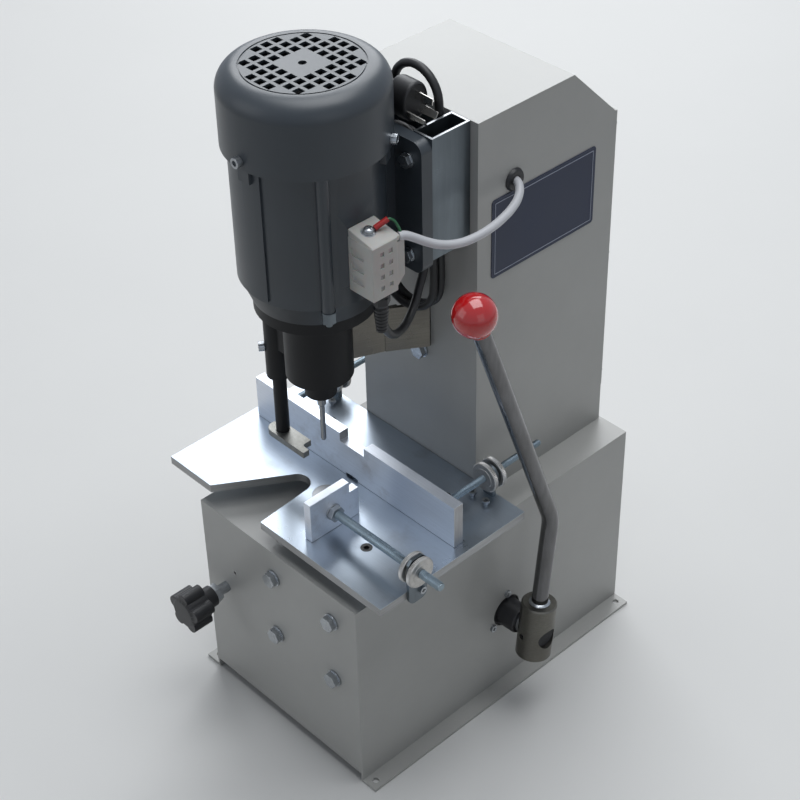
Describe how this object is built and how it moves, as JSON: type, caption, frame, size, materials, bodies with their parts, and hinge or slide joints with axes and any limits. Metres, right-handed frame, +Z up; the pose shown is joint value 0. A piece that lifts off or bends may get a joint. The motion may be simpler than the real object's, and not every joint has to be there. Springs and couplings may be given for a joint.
{
  "type": "paper_drill",
  "caption": "Desk paper drill: motor head on a slab-sided tower, pulled down by a bent side lever; table with fence, side guide and presser foot.",
  "frame": {"origin": "middle of the four foot holes, on the surface the machine stands on", "axes": "+Z up out of the four upright foot holes, +Y from the operator to the back of the machine, +X to the side with the lever"},
  "size_m": [0.301, 0.3889, 0.64],
  "materials": {
    "housing_paint": "light warm grey powder coat, satin",
    "motor_paint": "dark slate enamel on cast and pressed metal, satin",
    "zinc_steel": "bright zinc plate",
    "ground_steel": "ground and worn bare steel",
    "plain_steel": "milled mild steel, slightly darkened",
    "alloy": "bare aluminium bar with swirl marks",
    "sheet_steel": "dull zinc-coated sheet and tube",
    "black_plastic": "black moulded plastic",
    "black_screws": "blackened steel",
    "plate_print": "dark violet-blue printed foil, bare",
    "nylon": "natural nylon",
    "brass_terminal": "plated brass",
    "black_cable": "black cable sheath and moulded plug",
    "white_cable": "white cable sheath",
    "red_ball": "glossy red moulded ball"
  },
  "bodies": {
    "frame": {"base_housing": "housing_paint", "base_rear_panel": "housing_paint", "tower_housing": "housing_paint", "tower_rear_cover": "housing_paint", "pan_screws": "zinc_steel", "front_bolts": "zinc_steel", "guide_screws": "zinc_steel", "bearing_plates": "plain_steel", "side_bearing": "black_plastic", "guide_rods": "ground_steel", "guide_blocks": "plain_steel", "table_plate": "ground_steel", "table_spacers": "zinc_steel", "table_screws": "black_screws", "drill_pad": "plain_steel", "stop_brackets": "zinc_steel", "data_plate": "plate_print", "cable_grommet": "black_plastic", "start_switch": "black_plastic"},
    "head": {"carriage": "plain_steel", "lift_plate": "plain_steel", "head_frame": "sheet_steel", "foot_bolts": "zinc_steel", "motor_body": "motor_paint", "end_shield": "motor_paint", "fan_cover": "motor_paint", "head_screws": "zinc_steel", "tie_bolts": "zinc_steel", "spindle_housing": "motor_paint", "spindle_bearings": "ground_steel", "rear_bracket": "sheet_steel", "terminal_block": "nylon", "earth_terminal": "brass_terminal", "mains_gland": "black_plastic", "mains_cable": "black_cable", "mains_plug": "black_cable", "motor_cable": "white_cable", "return_springs": "ground_steel", "presser_spring": "ground_steel"},
    "spindle": {"spindle": "ground_steel", "cooling_fan": "black_plastic", "drill_bit": "ground_steel"},
    "presser": {"presser_rod": "ground_steel", "presser_foot": "ground_steel"},
    "lever": {"lever_shaft": "ground_steel", "crank_arm": "plain_steel", "crank_roller": "ground_steel", "lever_hub": "plain_steel", "lever_rod": "ground_steel", "lever_ball": "red_ball"},
    "fence": {"fence_bar": "alloy", "fence_rods": "zinc_steel"},
    "fence_nut_left": {"fence_nuts_left": "zinc_steel"},
    "fence_nut_right": {"fence_nuts_right": "zinc_steel"},
    "side_stop": {"side_guide": "alloy", "guide_rod": "zinc_steel"},
    "guide_nut": {"guide_nuts": "zinc_steel"},
    "knob": {"star_knob": "black_plastic", "depth_screw": "zinc_steel"},
    "stop": {"stop_block": "plain_steel"}
  },
  "joints": [
    {"name": "head_slide", "type": "slide", "parent": "frame", "child": "head", "axis": [0, 0, 1], "range_m": [-0.06, 0], "stiffness_N_per_m": 4000, "springref_m": 0.08, "deforming": ["return_springs", "motor_cable"]},
    {"name": "lever_swing", "type": "hinge", "parent": "frame", "child": "lever", "pos_m": [0.136, 0.013, 0.087], "axis": [1, 0, 0], "range_deg": [0, 28.96]},
    {"name": "presser_slide", "type": "slide", "parent": "head", "child": "presser", "axis": [0, 0, 1], "range_m": [0, 0.025], "deforming": ["presser_spring"]},
    {"name": "spindle_spin", "type": "hinge", "parent": "head", "child": "spindle", "pos_m": [-0.0075, -0.1002, 0.4], "axis": [0, 0, 1], "continuous": true},
    {"name": "fence_slide", "type": "slide", "parent": "frame", "child": "fence", "axis": [0, 1, 0], "range_m": [-0.018, 0.034]},
    {"name": "left_nut_turn", "type": "hinge", "parent": "frame", "child": "fence_nut_left", "pos_m": [-0.105, -0.001, 0.25], "axis": [0, 1, 0], "continuous": true},
    {"name": "right_nut_turn", "type": "hinge", "parent": "frame", "child": "fence_nut_right", "pos_m": [0.09, -0.001, 0.25], "axis": [0, 1, 0], "continuous": true},
    {"name": "guide_slide", "type": "slide", "parent": "frame", "child": "side_stop", "axis": [1, 0, 0], "range_m": [-0.016, 0.07]},
    {"name": "guide_nut_turn", "type": "hinge", "parent": "frame", "child": "guide_nut", "pos_m": [0.129, -0.126, 0.2485], "axis": [1, 0, 0], "continuous": true},
    {"name": "knob_turn", "type": "hinge", "parent": "frame", "child": "knob", "pos_m": [-0.074, -0.167, 0.12], "axis": [0, 1, 0], "range_deg": [-720, 720]},
    {"name": "depth_slide", "type": "slide", "parent": "frame", "child": "stop", "axis": [0, 1, 0], "range_m": [-0.003, 0.003]}
  ],
  "couplings": [
    {"joint": "lever_swing", "follows": "head_slide", "rad_per_m": -8.4227},
    {"joint": "presser_slide", "follows": "head_slide", "ratio": -0.41667},
    {"joint": "knob_turn", "follows": "depth_slide", "rad_per_m": 4188.8}
  ]
}
